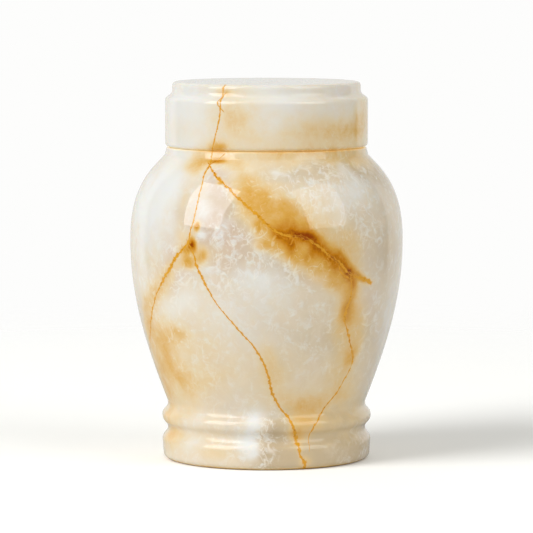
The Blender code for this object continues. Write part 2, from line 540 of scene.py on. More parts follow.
@dataclass(frozen=True)
class OnyxBlock:
    """The one block that both pieces were turned from, with what lies where in it.

    Attributes:
        outline: (radius, height) points up the outer sides of the urn, in metres.
        clouds: the listed clouds.
        veins: the veins.
        ground: how much of each tone there is everywhere, and how far that varies.
        ground_size: the size of that variation, in metres.
        swirls: (size, share) of each scale of the swirls that bend the clouds, sizes in metres.
        bend: how far the swirls bend a cloud, as a share of its smaller half-size.
        seed: what the swirls are drawn from.
        far: a distance that counts as far from every vein, in metres.
        painted_edge_tints: (height in mm, how much honey) of each thin edge, at the foot and at the joint,
            where a painted honey tint stands in for light coming through the stone.
        painted_edge_tint_reach: how far that painted tint reaches, in mm.
    """

    outline: tuple[Point, ...]
    clouds: tuple[Cloud, ...]
    veins: tuple[Vein, ...]
    ground: dict[Tone, Point]
    ground_size: float = 45.0 * MM
    swirls: tuple[Point, ...] = ((30.0 * MM, 0.9), (11.0 * MM, 0.55), (4.5 * MM, 0.3))
    bend: float = 0.45
    seed: int = 18
    far: float = 9.0 * MM
    # Painted light: a honey tint at the foot's edge and at the joint, for light coming through the thin
    # stone.
    painted_edge_tints: tuple[Point, ...] = ((0.0, 0.42), (215.4, 0.08))
    painted_edge_tint_reach: float = 1.6

    def spot(self, azimuth: float, height: float) -> np.ndarray:
        """The point on the outside at an azimuth in degrees and a height in mm.

        Args:
            azimuth: 0 towards the camera.
            height: past the top or below 0, it runs on over the flat face towards the axis.

        Returns:
            The point, in metres.
        """
        radii, heights = np.array(self.outline).T
        level = height * MM
        beyond = max(0.0, level - heights[-1], heights[0] - level)
        radius = np.interp(level, heights, radii) - beyond
        around = math.radians(azimuth)
        flat = min(max(level, heights[0]), heights[-1])
        return np.array((radius * math.sin(around), -radius * math.cos(around), flat))

    def axes(self, azimuth: float, height: float) -> np.ndarray:
        """Finds the directions round, up and out of the surface at a spot.

        Args:
            azimuth: in degrees.
            height: in mm.

        Returns:
            The three unit vectors, as rows.
        """
        step = 1.5
        around = math.radians(azimuth)
        level = np.array((math.cos(around), math.sin(around), 0.0))
        up = self.spot(azimuth, height + step) - self.spot(azimuth, height - step)
        up /= np.linalg.norm(up)
        return np.array((level, up, np.cross(level, up)))

    def swirl(self, points: np.ndarray) -> np.ndarray:
        """Works out how the swirls push each point.

        Args:
            points: one row a point, in metres.

        Returns:
            One vector a point, of about unit length.
        """
        noise.seed_set(self.seed)
        pushed = np.zeros_like(points)
        for size, share in self.swirls:
            pushed += share * np.array([noise.noise_vector(Vector(p)) for p in points / size])
        return pushed

    def tones(self, points: np.ndarray) -> dict[Tone, np.ndarray]:
        """Works out how much of each tone there is at each point.

        Args:
            points: one row a point, in metres.

        Returns:
            An amount for each point, from 0 up, for each tone.
        """
        least_depth = 12.0 * MM
        tones_apart = Vector((3.1, 1.7, 5.3))
        fullest = 1.3
        pushed = self.swirl(points)
        amounts = {}
        for place, tone in enumerate(Tone):
            usual, change = self.ground[tone]
            offset = tones_apart * place
            drift = [noise.noise(Vector(p) + offset) for p in points / self.ground_size]
            amounts[tone] = usual + change * np.array(drift)
        for cloud in self.clouds:
            half = np.array((cloud.reach, cloud.rise)) * MM
            depth = half.max() + least_depth
            axes = self.axes(cloud.azimuth, cloud.height)
            offset = points + pushed * half.min() * self.bend - self.spot(cloud.azimuth, cloud.height)
            round_, up, out = (offset @ axes.T).T
            tilt = math.radians(cloud.tilt)
            along = round_ * math.cos(tilt) + up * math.sin(tilt)
            across = up * math.cos(tilt) - round_ * math.sin(tilt)
            reach = (along / half[0]) ** 2 + (across / half[1]) ** 2 + (out / depth) ** 2
            amounts[cloud.tone] = amounts[cloud.tone] + cloud.strength * np.exp(-reach)
        # Painted light: a honey tint at each thin edge, for light coming through the stone there.
        for height, stain in self.painted_edge_tints:
            away = (points[:, 2] / MM - height) / self.painted_edge_tint_reach
            amounts[Tone.HONEY] = amounts[Tone.HONEY] + stain * np.exp(-(away**2))
        return {tone: np.clip(amount, 0.0, fullest) for tone, amount in amounts.items()}

    def line_of(self, vein: Vein) -> np.ndarray:
        """Draws a vein's line as close points on one smooth curve through its route.

        Args:
            vein: the vein.

        Returns:
            One row a point, in metres.
        """
        pieces = 5
        stops = np.array([self.spot(azimuth, height) for azimuth, height, _ in vein.route])
        padded = np.vstack((2 * stops[0] - stops[1], stops, 2 * stops[-1] - stops[-2]))
        line = []
        for before, start, end, after in zip(padded, padded[1:], padded[2:], padded[3:]):
            for share in np.arange(pieces) / pieces:
                line.append(0.5 * (2 * start + (end - before) * share
                                   + (2 * before - 5 * start + 4 * end - after) * share**2
                                   + (3 * start - before - 3 * end + after) * share**3))
        return np.array([*line, stops[-1]])

    def seams(self, points: np.ndarray, normals: np.ndarray) -> tuple[list[np.ndarray], np.ndarray]:
        """Measures where each point lies from the nearest vein of each sheet.

        Args:
            points: one row a point, in metres.
            normals: the surface's direction at each.

        Returns:
            For each sheet, rows of (side distance in half-widths, distance along in mm, distance in mm),
            and how brown the nearest vein is at each point.
        """
        sheets = 1 + max(vein.sheet for vein in self.veins)
        aside = 20.0
        found = [np.tile((aside, 0.0, self.far / MM), (len(points), 1)) for _ in range(sheets)]
        burn = np.zeros(len(points))
        burn_reach = 4.0 * MM
        for vein in self.veins:
            line = self.line_of(vein)
            close = np.all((points > line.min(0) - self.far) & (points < line.max(0) + self.far), axis=1)
            near = np.flatnonzero(close)
            starts, runs = line[:-1], np.diff(line, axis=0)
            lengths = np.linalg.norm(runs, axis=1)
            travelled = np.concatenate(((0.0,), np.cumsum(lengths)))
            offset = points[near][:, None] - starts
            share = np.clip((offset * runs).sum(2) / lengths**2, 0.0, 1.0)
            gap = np.linalg.norm(offset - share[..., None] * runs, axis=2)
            best = gap.argmin(1)
            rows = np.arange(len(near))
            distance, along = gap[rows, best], travelled[best] + share[rows, best] * lengths[best]
            ahead = runs[best] / lengths[best][:, None]
            side = (offset[rows, best] * np.cross(normals[near], ahead)).sum(1)
            stops = np.linspace(0, len(lengths), len(vein.route))
            half = np.interp(best + share[rows, best], stops, [stop[2] for stop in vein.route]) * MM
            nearer = distance < found[vein.sheet][near, 2] * MM
            kept = np.column_stack((np.clip(side / half, -aside, aside), along / MM, distance / MM))
            found[vein.sheet][near[nearer]] = kept[nearer]
            burn[near] = np.maximum(burn[near], vein.burn * np.exp(-((distance / burn_reach) ** 2)))
        return found, burn

    def mark(self, piece: bpy.types.Object) -> None:
        """Writes the tones and the seams on a piece's mesh, for its material to read.

        Args:
            piece: the turned piece.
        """
        mesh = piece.data
        count = len(mesh.vertices)
        points, normals = np.empty(count * 3), np.empty(count * 3)
        mesh.vertices.foreach_get("co", points)
        mesh.vertex_normals.foreach_get("vector", normals)
        points, normals = points.reshape(-1, 3), normals.reshape(-1, 3)
        amounts = self.tones(points)
        sheets, burn = self.seams(points, normals)
        amounts[Tone.BURN] = np.maximum(amounts[Tone.BURN], burn)
        fields = {name: np.zeros((count, 3)) for name in ("warm", "pale")}
        for tone, amount in amounts.items():
            name, channel = tone.value
            fields[name][:, channel] = amount
        fields |= {f"seam_{place}": sheet for place, sheet in enumerate(sheets)}
        for name, rows in fields.items():
            mesh.attributes.new(name, "FLOAT_VECTOR", "POINT").data.foreach_set("vector", rows.ravel())


@dataclass(frozen=True)
class PolishedOnyx:
    """Banded calcite, sold as honey onyx, sawn, turned and polished with fine grit.

    The polish gives a clear gloss over soft clouds that seem to lie a little way in. The crystals show as
    white puffs with curled hairs across them, and the veins, which take less polish, stay a shade duller.
    A painted glow, an emission at the joint between the lid and the collar, stands in for light coming
    through the thin edges there.

    Attributes:
        cream: the plain stone.
        mist: clear stone, which is greyer.
        rose: stone with a little iron all through it.
        milk: cloudy white stone.
        wisp: the crystals' hairs.
        honeys: (depth, colour) of the iron stain, from thin to thick.
        gold: the veins.
        brown: the veins' hearts.
        halo: the veins' pale edges.
        ior: of calcite, between its two values.
        specular: how much it mirrors, where 0.5 is plain.
        roughness: where the polish is best.
        worn_roughness: where the polish is poorest.
        vein_roughness: on the veins.
        relief: how deep the polish leaves the softer stone, in metres.
        relief_strength: how much of that shows.
        vein_dip: how far the veins lie below the rest, as a share of the relief.
        noise_range: what the coarse noise seldom leaves.
        noise_detail: how many finer scales each noise has.
        noise_softness: how much of the finer scales shows.
        cloud_size: the size of the coarse noise, in metres.
        mottle_size: the size of the puffs, in metres.
        grain_size: the size of the fine noise, in metres.
        twists: how far the three noises are twisted.
        mist_edge: how far the grain shifts the mist's edge, then the amounts where it begins and is full.
        rose_edge: the same for the rose.
        milk_edge: the same for the milk.
        crystal_edge: the same for the crystals.
        heart_edge: the same for the veins' hearts.
        puff_edge: the noise where a puff begins and where it is full.
        puff_white: how white a puff is.
        hair_sizes: how far apart the hairs of each kind lie, in metres.
        hair_width: how wide a hair is drawn. A real one, near 0.2 mm, would be too fine for the render to
            show, so it is drawn four times as wide.
        hair_twist: how far the hairs are curled.
        hair_gaps: the noise where a hair begins and where it is full.
        hair_gap_size: how many times the gaps are closer together than the hairs.
        hair_white: how white a hair is.
        stretch: how much longer the crystals are up the block than across it.
        stain_noise: the noise that makes the stain thin and thick.
        stain_depths: how thin and how thick that makes it.
        stain_spared: how much less of it the hairs take.
        stain_full: the depth where the stone below no longer shows.
        joint_height: the height of the joint between the lid and the collar, in metres.
        painted_gap_glow_reach: how far the painted glow at the joint reaches, in metres.
        painted_gap_glow_strength: how bright that painted glow is.
        painted_gap_glow_colour: its colour.
        glow_depth: how far light travels in the stone, in metres.
        glow_share: how much of the light does.
        glow_reach: how far red, green and blue travel, as shares of that depth.
        meander: how far a vein's line wanders, in half-widths.
        meander_size: the size of that wandering, in metres.
        bead: how far apart the veins' beads lie, in mm.
        bead_drift: how far noise moves a bead along, in mm.
        bead_widths: a vein's width between beads and at a bead.
        vein_end: distances from a vein's end, in mm, where it fades out and where it is whole.
        gold_edge: distances from a vein's line, in half-widths, where the gold is full and where it ends.
        heart_width: the same for the hearts.
        halo_edge: the same for the pale edges.
        heart_growth: how much wider a burnt vein's heart is.
        halo_strength: how pale the edges are.
        sheets: how many seam fields the mesh carries.
    """

    cream: str = "EEE0CA"
    mist: str = "CDB999"
    rose: str = "DEC8B4"
    milk: str = "F2F2EF"
    wisp: str = "FAF4EA"
    honeys: tuple[tuple[float, str], ...] = (
        (0.0, "F6E7C9"), (0.28, "F3D69C"), (0.52, "E4AF52"), (0.78, "D0850E"), (1.0, "9A4400"))
    gold: str = "E6A72E"
    brown: str = "A4500A"
    halo: str = "F9DDA8"
    ior: float = 1.52
    specular: float = 0.5
    roughness: float = 0.02
    worn_roughness: float = 0.045
    vein_roughness: float = 0.16
    relief: float = 0.06 * MM
    relief_strength: float = 0.5
    vein_dip: float = 0.8
    noise_range: Point = (0.35, 0.65)
    noise_detail: float = 5.0
    noise_softness: float = 0.62
    cloud_size: float = 14.0 * MM
    mottle_size: float = 6.5 * MM
    grain_size: float = 4.0 * MM
    twists: tuple[float, float, float] = (0.9, 0.8, 1.3)
    mist_edge: tuple[float, float, float] = (0.7, 0.1, 0.9)
    rose_edge: tuple[float, float, float] = (0.8, 0.1, 0.9)
    milk_edge: tuple[float, float, float] = (0.9, 0.15, 1.1)
    crystal_edge: tuple[float, float, float] = (1.2, 0.1, 0.9)
    heart_edge: tuple[float, float, float] = (2.2, 0.35, 1.0)
    puff_edge: Point = (0.46, 0.64)
    puff_white: float = 0.74
    hair_sizes: tuple[float, ...] = (24.0 * MM, 16.0 * MM, 10.0 * MM)
    hair_width: float = 0.8 * MM
    hair_twist: float = 1.2
    hair_gaps: Point = (0.47, 0.60)
    hair_gap_size: float = 1.6
    hair_white: float = 0.70
    stretch: float = 0.75
    stain_noise: Point = (0.45, 1.05)
    stain_depths: Point = (0.78, 1.18)
    stain_spared: float = 0.35
    stain_full: float = 0.48
    # The painted glow at the joint, which stands in for light coming through the thin edges.
    joint_height: float = 215.35 * MM
    painted_gap_glow_reach: float = 1.4 * MM
    painted_gap_glow_strength: float = 0.14
    painted_gap_glow_colour: str = "EACB7C"
    glow_depth: float = 2.5 * MM
    glow_share: float = 0.25
    glow_reach: tuple[float, float, float] = (1.0, 0.7, 0.4)
    meander: float = 1.3
    meander_size: float = 3.2 * MM
    bead: float = 4.6
    bead_drift: float = 9.0
    bead_widths: Point = (0.58, 1.22)
    vein_end: Point = (5.0, 2.5)
    gold_edge: Point = (0.6, 1.3)
    heart_width: Point = (0.0, 0.5)
    halo_edge: Point = (0.6, 2.8)
    heart_growth: float = 0.6
    halo_strength: float = 0.30
    sheets: int = 3

    def material(self, name: str) -> bpy.types.Material:
        """Makes the stone's material.

        Args:
            name: the material's name.

        Returns:
            The material.
        """
        material = bpy.data.materials.new(name)
        material.use_nodes = True
        tree = material.node_tree
        tree.nodes.clear()
        place = add_node(tree, "ShaderNodeTexCoord").outputs["Object"]
        coarse, mottle, fine = (
            add_node(tree, "ShaderNodeTexNoise", {}, {
                "Vector": place, "Scale": 1 / size, "Detail": self.noise_detail,
                "Roughness": self.noise_softness, "Distortion": twist}).outputs["Fac"]
            for size, twist in zip((self.cloud_size, self.mottle_size, self.grain_size), self.twists))
        warm = self.field(tree, "warm")
        pale = self.field(tree, "pale")
        ground = (*linear(self.cream), 1.0)
        ground = self.tinted(tree, ground, self.mist, self.edged(tree, pale["Y"], coarse, *self.mist_edge))
        ground = self.tinted(tree, ground, self.rose, self.edged(tree, warm["Y"], coarse, *self.rose_edge))
        ground = self.tinted(tree, ground, self.milk, self.edged(tree, pale["X"], coarse, *self.milk_edge))
        puffs, threads = self.crystals(tree, place, pale["Z"], mottle)
        ground = self.tinted(tree, ground, self.milk, puffs)
        ground = self.tinted(tree, ground, self.wisp, threads)
        seam, core, edge = self.veined(tree, place, fine, warm["Z"])
        ground = self.tinted(tree, ground, self.halo, edge)
        ground = self.stained(tree, ground, warm["X"], threads, coarse, fine)
        ground = self.tinted(tree, ground, self.gold, seam)
        ground = self.tinted(tree, ground, self.brown, core)
        polish = add_node(tree, "ShaderNodeMapRange", {}, {
            "Value": coarse, "From Min": self.noise_range[0], "From Max": self.noise_range[1],
            "To Min": self.roughness, "To Max": self.worn_roughness})
        dull = add_node(tree, "ShaderNodeMapRange", {}, {
            "Value": seam, "To Min": polish.outputs["Result"], "To Max": self.vein_roughness})
        relief = add_node(tree, "ShaderNodeMath", {"operation": "MULTIPLY_ADD"}, {
            0: seam, 1: -self.vein_dip, 2: coarse})
        bump = add_node(tree, "ShaderNodeBump", {}, {
            "Strength": self.relief_strength, "Distance": self.relief, "Height": relief.outputs[0]})
        shader = add_node(tree, "ShaderNodeBsdfPrincipled", {}, {
            "Base Color": ground, "Roughness": dull.outputs["Result"], "Normal": bump.outputs["Normal"],
            "IOR": self.ior, "Specular IOR Level": self.specular,
            "Subsurface Weight": self.glow_share, "Subsurface Radius": self.glow_reach,
            "Subsurface Scale": self.glow_depth,
            # Emission: the painted glow at the joint between the lid and the collar.
            "Emission Color": (*linear(self.painted_gap_glow_colour), 1.0),
            "Emission Strength": self.painted_gap_glow(tree, place)})
        add_node(tree, "ShaderNodeOutputMaterial", {}, {"Surface": shader.outputs["BSDF"]})
        return material

    def painted_gap_glow(self, tree: bpy.types.NodeTree, place: bpy.types.NodeSocket) -> bpy.types.NodeSocket:
        """Adds a painted glow, an emission that stands in for light coming through the thin edges where
        the lid rests on the collar.

        Args:
            tree: the node tree.
            place: the point in the block.

        Returns:
            Its strength.
        """
        height = add_node(tree, "ShaderNodeSeparateXYZ", {}, {0: place}).outputs["Z"]
        offset = add_node(tree, "ShaderNodeMath", {"operation": "SUBTRACT"}, {
            0: height, 1: self.joint_height})
        away = add_node(tree, "ShaderNodeMath", {"operation": "ABSOLUTE"}, {0: offset.outputs[0]})
        return add_node(tree, "ShaderNodeMapRange", {"interpolation_type": "SMOOTHSTEP"}, {
            "Value": away.outputs[0], "From Min": self.painted_gap_glow_reach, "From Max": 0.0,
            "To Max": self.painted_gap_glow_strength}).outputs["Result"]

    def field(self, tree: bpy.types.NodeTree, name: str) -> bpy.types.NodeOutputs:
        """The three channels of a field that the mesh carries."""
        carried = add_node(tree, "ShaderNodeAttribute", {"attribute_name": name})
        return add_node(tree, "ShaderNodeSeparateXYZ", {}, {0: carried.outputs["Vector"]}).outputs

    def edged(self, tree: bpy.types.NodeTree, amount: bpy.types.NodeSocket, grain: bpy.types.NodeSocket,
              spread: float, low: float, high: float) -> bpy.types.NodeSocket:
        """Breaks up the edge of a tone by the grain of the stone.

        Args:
            tree: the node tree.
            amount: how much of the tone there is.
            grain: noise from 0 to 1.
            spread: how far the grain shifts the edge.
            low: the amount where the tone begins.
            high: the amount where it is full.

        Returns:
            A share from 0 to 1.
        """
        shifted = add_node(tree, "ShaderNodeMath", {"operation": "MULTIPLY_ADD"}, {
            0: grain, 1: spread, 2: amount}).outputs[0]
        return add_node(tree, "ShaderNodeMapRange", {"interpolation_type": "SMOOTHSTEP"}, {
            "Value": shifted, "From Min": low + spread / 2,
            "From Max": high + spread / 2}).outputs["Result"]

    def tinted(self, tree: bpy.types.NodeTree, ground: Any, colour: str,
               share: bpy.types.NodeSocket) -> bpy.types.NodeSocket:
        """A ground with a share of a hex colour mixed in."""
        return add_node(tree, "ShaderNodeMix", {"data_type": "RGBA"}, {
            0: share, 6: ground, 7: (*linear(colour), 1.0)}).outputs[2]

    def stained(self, tree: bpy.types.NodeTree, ground: bpy.types.NodeSocket, honey: bpy.types.NodeSocket,
                threads: bpy.types.NodeSocket, coarse: bpy.types.NodeSocket,
                fine: bpy.types.NodeSocket) -> bpy.types.NodeSocket:
        """Lays the iron stain over a ground, from honey through amber to brown.

        Args:
            tree: the node tree.
            ground: the colour below.
            honey: how much stain there is.
            threads: the crystals, which take less of it.
            coarse: coarse noise from 0 to 1.
            fine: fine noise from 0 to 1.

        Returns:
            The colour.
        """
        fine_share = 0.5
        both = add_node(tree, "ShaderNodeMath", {"operation": "MULTIPLY_ADD"}, {
            0: fine, 1: fine_share, 2: coarse})
        patchy = add_node(tree, "ShaderNodeMapRange", {}, {
            "Value": both.outputs[0], "From Min": self.stain_noise[0], "From Max": self.stain_noise[1],
            "To Min": self.stain_depths[0], "To Max": self.stain_depths[1]})
        spared = add_node(tree, "ShaderNodeMath", {"operation": "MULTIPLY_ADD"}, {
            0: threads, 1: -self.stain_spared, 2: patchy.outputs["Result"]})
        depth = add_node(tree, "ShaderNodeMath", {"operation": "MULTIPLY"}, {
            0: honey, 1: spared.outputs[0]}).outputs[0]
        ramp = add_node(tree, "ShaderNodeValToRGB", {}, {"Fac": depth})
        stops = ramp.color_ramp.elements
        for position, _ in self.honeys[1:-1]:
            stops.new(position)
        for stop, (_, colour) in zip(stops, self.honeys):
            stop.color = (*linear(colour), 1.0)
        share = add_node(tree, "ShaderNodeMapRange", {"interpolation_type": "SMOOTHSTEP"}, {
            "Value": depth, "From Min": 0.0, "From Max": self.stain_full})
        return add_node(tree, "ShaderNodeMix", {"data_type": "RGBA"}, {
            0: share.outputs["Result"], 6: ground, 7: ramp.outputs["Color"]}).outputs[2]

    def crystals(self, tree: bpy.types.NodeTree, place: bpy.types.NodeSocket, amount: bpy.types.NodeSocket,
                 mottle: bpy.types.NodeSocket) -> tuple[bpy.types.NodeSocket, bpy.types.NodeSocket]:
        """Adds the crystals: soft white puffs, with fine curved hairs that cross them.

        Args:
            tree: the node tree.
            place: the point in the block.
            amount: how much of the stone shows its crystals.
            mottle: noise that shapes the puffs.

        Returns:
            The shares of the puffs and of the hairs.
        """
        upright = add_node(tree, "ShaderNodeMapping", {}, {
            "Vector": place, "Scale": (1.0, 1.0, self.stretch)})
        shown = self.edged(tree, amount, mottle, *self.crystal_edge)
        puffs = add_node(tree, "ShaderNodeMapRange", {"interpolation_type": "SMOOTHSTEP"}, {
            "Value": mottle, "From Min": self.puff_edge[0], "From Max": self.puff_edge[1],
            "To Max": self.puff_white})
        middle = 0.5
        hairs = None
        for size in self.hair_sizes:
            level = add_node(tree, "ShaderNodeTexNoise", {}, {
                "Vector": upright.outputs["Vector"], "Scale": 1 / size, "Detail": 2.0, "Roughness": 0.5,
                "Distortion": self.hair_twist})
            kept = add_node(tree, "ShaderNodeTexNoise", {}, {
                "Vector": place, "Scale": self.hair_gap_size / size, "Detail": 1.0, "Distortion": 0.4})
            broken = add_node(tree, "ShaderNodeMapRange", {"interpolation_type": "SMOOTHSTEP"}, {
                "Value": kept.outputs["Fac"], "From Min": self.hair_gaps[0], "From Max": self.hair_gaps[1],
                "To Max": self.hair_white})
            away = add_node(tree, "ShaderNodeMath", {"operation": "SUBTRACT"}, {
                0: level.outputs["Fac"], 1: middle})
            off = add_node(tree, "ShaderNodeMath", {"operation": "ABSOLUTE"}, {0: away.outputs[0]})
            line = add_node(tree, "ShaderNodeMapRange", {"interpolation_type": "SMOOTHSTEP"}, {
                "Value": off.outputs[0], "From Min": 0.5 * self.hair_width / size, "From Max": 0.0})
            hair = add_node(tree, "ShaderNodeMath", {"operation": "MULTIPLY"}, {
                0: line.outputs["Result"], 1: broken.outputs["Result"]}).outputs[0]
            hairs = hair if hairs is None else add_node(tree, "ShaderNodeMath", {"operation": "MAXIMUM"}, {
                0: hairs, 1: hair}).outputs[0]
        return tuple(
            add_node(tree, "ShaderNodeMath", {"operation": "MULTIPLY"}, {0: kind, 1: shown}).outputs[0]
            for kind in (puffs.outputs["Result"], hairs))

    def veined(self, tree: bpy.types.NodeTree, place: bpy.types.NodeSocket, fine: bpy.types.NodeSocket,
               burn: bpy.types.NodeSocket) -> tuple[bpy.types.NodeSocket, ...]:
        """Adds the veins: beads of gold along a wandering line, with brown hearts and a pale edge.

        Args:
            tree: the node tree.
            place: the point in the block.
            fine: fine noise from 0 to 1.
            burn: how brown the veins are.

        Returns:
            The shares of gold, brown and pale edge.
        """
        wander = add_node(tree, "ShaderNodeTexNoise", {}, {
            "Vector": place, "Scale": 1 / self.meander_size, "Detail": 3.0, "Roughness": 0.6})
        wandered = add_node(tree, "ShaderNodeMapRange", {}, {
            "Value": wander.outputs["Fac"], "To Min": -self.meander, "To Max": self.meander})
        layers: list[list[bpy.types.NodeSocket]] = []
        for sheet in range(self.sheets):
            seam = self.field(tree, f"seam_{sheet}")
            moved = add_node(tree, "ShaderNodeMath", {"operation": "ADD"}, {
                0: seam["X"], 1: wandered.outputs["Result"]})
            off = add_node(tree, "ShaderNodeMath", {"operation": "ABSOLUTE"}, {0: moved.outputs[0]})
            turn = add_node(tree, "ShaderNodeMath", {"operation": "MULTIPLY_ADD"}, {
                0: fine, 1: self.bead_drift, 2: seam["Y"]})
            phase = add_node(tree, "ShaderNodeMath", {"operation": "MULTIPLY"}, {
                0: turn.outputs[0], 1: math.tau / self.bead})
            beads = add_node(tree, "ShaderNodeMath", {"operation": "SINE"}, {0: phase.outputs[0]})
            width = add_node(tree, "ShaderNodeMapRange", {}, {
                "Value": beads.outputs[0], "From Min": -1.0,
                "To Min": self.bead_widths[0], "To Max": self.bead_widths[1]})
            scaled = add_node(tree, "ShaderNodeMath", {"operation": "DIVIDE"}, {
                0: off.outputs[0], 1: width.outputs["Result"]})
            burnt = add_node(tree, "ShaderNodeMath", {"operation": "MULTIPLY_ADD"}, {
                0: burn, 1: -self.heart_growth, 2: scaled.outputs[0]})
            ended = add_node(tree, "ShaderNodeMapRange", {"interpolation_type": "SMOOTHSTEP"}, {
                "Value": seam["Z"], "From Min": self.vein_end[0], "From Max": self.vein_end[1]})
            shares = []
            edges = ((scaled, self.gold_edge), (burnt, self.heart_width), (off, self.halo_edge))
            for value, (full, end) in edges:
                share = add_node(tree, "ShaderNodeMapRange", {"interpolation_type": "SMOOTHSTEP"}, {
                    "Value": value.outputs[0], "From Min": end, "From Max": full})
                shares.append(add_node(tree, "ShaderNodeMath", {"operation": "MULTIPLY"}, {
                    0: share.outputs["Result"], 1: ended.outputs["Result"]}).outputs[0])
            layers.append(shares)
        merged = []
        for kind in zip(*layers):
            top = kind[0]
            for other in kind[1:]:
                top = add_node(tree, "ShaderNodeMath", {"operation": "MAXIMUM"}, {
                    0: top, 1: other}).outputs[0]
            merged.append(top)
        patchy = self.edged(tree, burn, fine, *self.heart_edge)
        core = add_node(tree, "ShaderNodeMath", {"operation": "MULTIPLY"}, {0: merged[1], 1: patchy})
        edge = add_node(tree, "ShaderNodeMath", {"operation": "MULTIPLY"}, {
            0: merged[2], 1: self.halo_strength})
        return merged[0], core.outputs[0], edge.outputs[0]


HONEY, ROSE, BURN, MILK, MIST, WISP = Tone

GROUND = {
    HONEY: (0.06, 0.08),
    ROSE: (0.15, 0.12),
    BURN: (0.0, 0.0),
    MILK: (0.26, 0.22),
    MIST: (0.22, 0.18),
    WISP: (0.30, 0.25),
}

